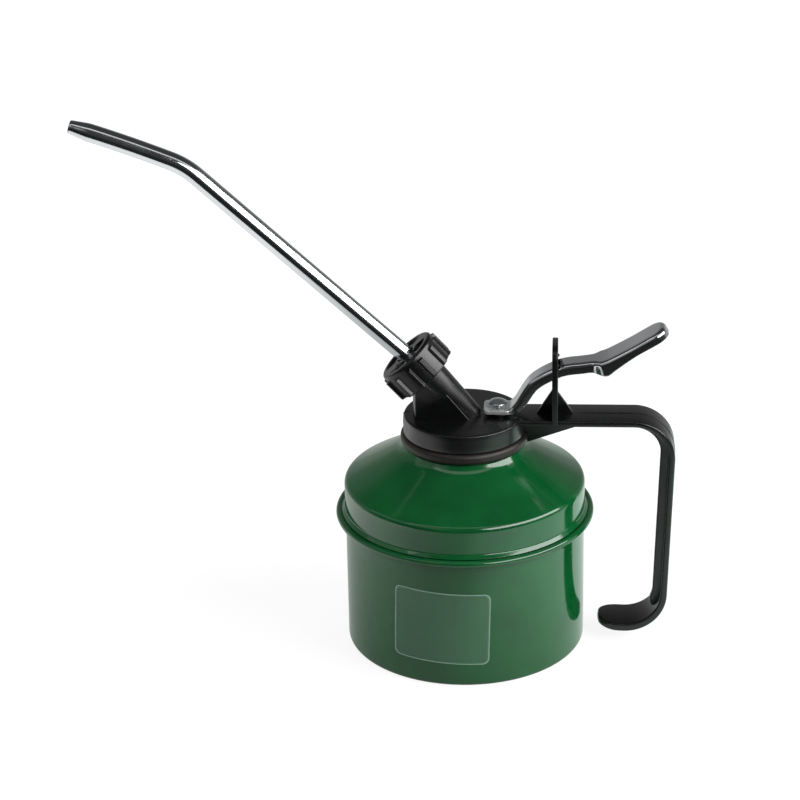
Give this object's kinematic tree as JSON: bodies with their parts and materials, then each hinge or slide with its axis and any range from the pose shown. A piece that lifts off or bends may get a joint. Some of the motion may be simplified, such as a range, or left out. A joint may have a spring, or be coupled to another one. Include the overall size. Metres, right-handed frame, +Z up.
{
  "type": "pump oil can",
  "caption": "Pump oil can: drawn steel can with a domed top, curved metal spout, moulded head with a hooked handle, and a thumb lever working a piston pump.",
  "frame": {"origin": "centre of the flat base, on the can's axis", "axes": "+Z up along the can's axis; the spout points to -X and the handle is at +X, in the y = 0 plane"},
  "size_m": [0.2081, 0.0918, 0.1937],
  "materials": {
    "green_enamel": "glossy stoved enamel",
    "black_nylon": "moulded, semi-gloss",
    "black_rubber": "moulded",
    "clear_film": "clear film over green enamel",
    "chrome_plate": "bright plated",
    "zinc_plate": "bright zinc plate",
    "turned_brass": "turned",
    "bearing_steel": "ground",
    "spring_steel": "drawn wire",
    "white_acetal": "extruded"
  },
  "bodies": {
    "can": {"lower_body": "green_enamel", "upper_body": "green_enamel", "label_film": "clear_film"},
    "seal_ring": {"neck_seal": "black_rubber"},
    "pump_head": {"head": "black_nylon", "rod_gland": "turned_brass", "gland_seal": "black_rubber", "pump_barrel": "turned_brass", "valve_body": "turned_brass", "ball_stop": "zinc_plate", "suction_tube": "white_acetal", "strainer": "turned_brass", "spout_seal": "black_rubber", "return_spring": "spring_steel"},
    "nut": {"union_nut": "black_nylon"},
    "spout": {"spout_tube": "chrome_plate", "spout_ferrule": "zinc_plate"},
    "rod": {"pump_rod": "bearing_steel", "rod_rivet": "zinc_plate", "piston": "turned_brass", "piston_seal": "black_rubber", "piston_nut": "zinc_plate"},
    "thumb_lever": {"lever": "chrome_plate"},
    "inlet_ball": {"suction_ball": "bearing_steel"},
    "outlet_ball": {"delivery_ball": "bearing_steel"}
  },
  "joints": [
    {"name": "head_turn", "type": "hinge", "parent": "can", "child": "seal_ring", "pos_m": [0, 0, 0.0775], "axis": [0, 0, 1], "continuous": true},
    {"name": "head_lift", "type": "slide", "parent": "seal_ring", "child": "pump_head", "axis": [0, 0, 1], "range_m": [0, 0.11]},
    {"name": "nut_turn", "type": "hinge", "parent": "pump_head", "child": "nut", "pos_m": [0, 0, 0.0863], "axis": [-0.6769, 0, 0.7361], "continuous": true},
    {"name": "spout_swivel", "type": "hinge", "parent": "pump_head", "child": "spout", "pos_m": [0, 0, 0.0863], "axis": [-0.6769, 0, 0.7361], "continuous": true},
    {"name": "rod_lift", "type": "slide", "parent": "pump_head", "child": "rod", "axis": [0, 0, 1], "range_m": [0, 0.0074], "deforming": ["return_spring"]},
    {"name": "lever_tilt", "type": "hinge", "parent": "rod", "child": "thumb_lever", "pos_m": [0.012, 0, 0.0883], "axis": [0, 1, 0], "range_deg": [0, 18], "stiffness_Nm_per_rad": 0.25, "springref_deg": -17.19},
    {"name": "inlet_ball_lift", "type": "slide", "parent": "pump_head", "child": "inlet_ball", "axis": [0, 0, 1], "range_m": [0, 0.0008]},
    {"name": "outlet_ball_lift", "type": "slide", "parent": "pump_head", "child": "outlet_ball", "axis": [-0.6769, 0, 0.7361], "range_m": [0, 0.0055]}
  ],
  "couplings": [
    {"joint": "lever_tilt", "follows": "rod_lift", "rad_per_m": 42.373}
  ]
}
